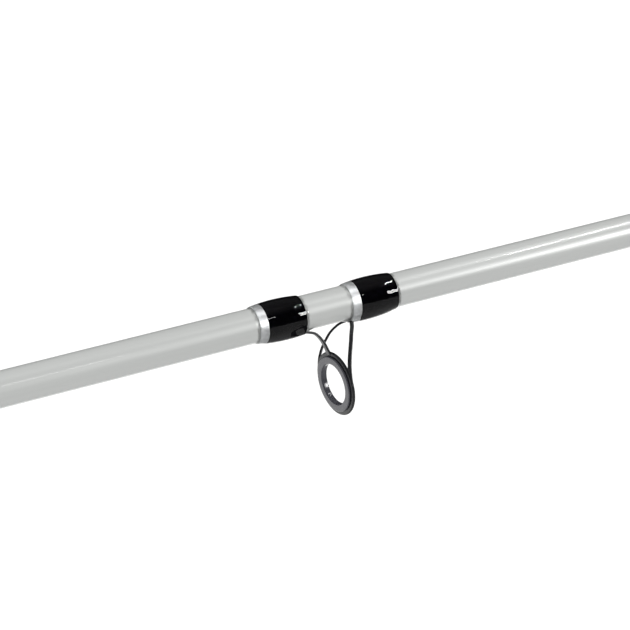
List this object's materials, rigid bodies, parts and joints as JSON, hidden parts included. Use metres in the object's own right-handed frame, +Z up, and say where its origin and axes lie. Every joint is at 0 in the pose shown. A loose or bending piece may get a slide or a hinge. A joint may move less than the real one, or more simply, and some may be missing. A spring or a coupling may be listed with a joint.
{
  "type": "fishing rod",
  "caption": "Take-apart boat fishing rod: foam grips, screw-down reel seat, spigot joint, double-foot line guides bound on with thread under a clear coat, and a tip ring.",
  "frame": {"origin": "the middle of the flat butt end, on the rod's axis", "axes": "+X along the rod from the butt to the tip, +Z up, with the line guides and the reel foot's bed below the blank at -Z"},
  "size_m": [1.6805, 0.033, 0.0547],
  "materials": {
    "rubber_cap": "matte moulded",
    "eva_foam": "closed-cell foam",
    "polished_aluminium": "turned and polished",
    "graphite_barrel": "satin moulded",
    "arbor_foam": "rigid foam",
    "stainless_hood": "drawn and brushed",
    "hood_cushion": "matte",
    "nut_plastic": "satin moulded",
    "black_frame": "satin black coat",
    "clear_epoxy": "clear gloss",
    "silver_thread": "metallic thread",
    "black_thread": "nylon thread",
    "ceramic_ring": "polished oxide",
    "pearl_blank": "pearl paint under gloss",
    "spigot_rod": "ground carbon rod"
  },
  "bodies": {
    "handle_section": {"butt_cap": "rubber_cap", "rear_grip": "eva_foam", "rear_collar": "polished_aluminium", "seat_barrel": "graphite_barrel", "seat_arbors": "arbor_foam", "fixed_hood": "stainless_hood", "fixed_hood_pad": "hood_cushion", "fore_grip": "eva_foam", "winding_check": "polished_aluminium", "keeper_base": "black_frame", "keeper_binding": "black_thread", "keeper_coat": "clear_epoxy", "butt_blank": "pearl_blank", "spigot": "spigot_rod", "joint_binding_butt": "black_thread", "joint_coat_butt": "clear_epoxy", "guide_1_frame": "black_frame", "guide_1_ring": "ceramic_ring", "guide_1_thread": "black_thread", "guide_1_trim": "silver_thread", "guide_1_coat": "clear_epoxy", "guide_2_frame": "black_frame", "guide_2_ring": "ceramic_ring", "guide_2_thread": "black_thread", "guide_2_trim": "silver_thread", "guide_2_coat": "clear_epoxy"},
    "tip_section": {"tip_blank": "pearl_blank", "joint_binding_tip": "black_thread", "joint_coat_tip": "clear_epoxy", "guide_3_frame": "black_frame", "guide_3_ring": "ceramic_ring", "guide_3_thread": "black_thread", "guide_3_trim": "silver_thread", "guide_3_coat": "clear_epoxy", "guide_4_frame": "black_frame", "guide_4_ring": "ceramic_ring", "guide_4_thread": "black_thread", "guide_4_trim": "silver_thread", "guide_4_coat": "clear_epoxy", "guide_5_frame": "black_frame", "guide_5_ring": "ceramic_ring", "guide_5_thread": "black_thread", "guide_5_trim": "silver_thread", "guide_5_coat": "clear_epoxy", "tip_top_frame": "black_frame", "tip_top_ring": "ceramic_ring", "tip_top_binding": "black_thread", "tip_top_coat": "clear_epoxy"},
    "clamp_hood": {"moving_hood": "stainless_hood", "moving_hood_pad": "hood_cushion"},
    "lock_nut": {"lock_nut": "nut_plastic"},
    "keeper": {"keeper_loop": "black_frame"}
  },
  "joints": [
    {"name": "tip_section_pull", "type": "slide", "parent": "handle_section", "child": "tip_section", "axis": [1, 0, 0], "range_m": [0, 0.09]},
    {"name": "clamp_hood_slide", "type": "slide", "parent": "handle_section", "child": "clamp_hood", "axis": [-1, 0, 0], "range_m": [0, 0.014]},
    {"name": "lock_nut_turn", "type": "hinge", "parent": "clamp_hood", "child": "lock_nut", "pos_m": [0.3683, 0, 0], "axis": [-1, 0, 0], "range_deg": [0, 2520.1]},
    {"name": "keeper_swing", "type": "hinge", "parent": "handle_section", "child": "keeper", "pos_m": [0.509, 0, -0.00775], "axis": [0, 1, 0], "range_deg": [-80, 80]}
  ],
  "couplings": [
    {"joint": "lock_nut_turn", "follows": "clamp_hood_slide", "rad_per_m": 3141.6}
  ]
}
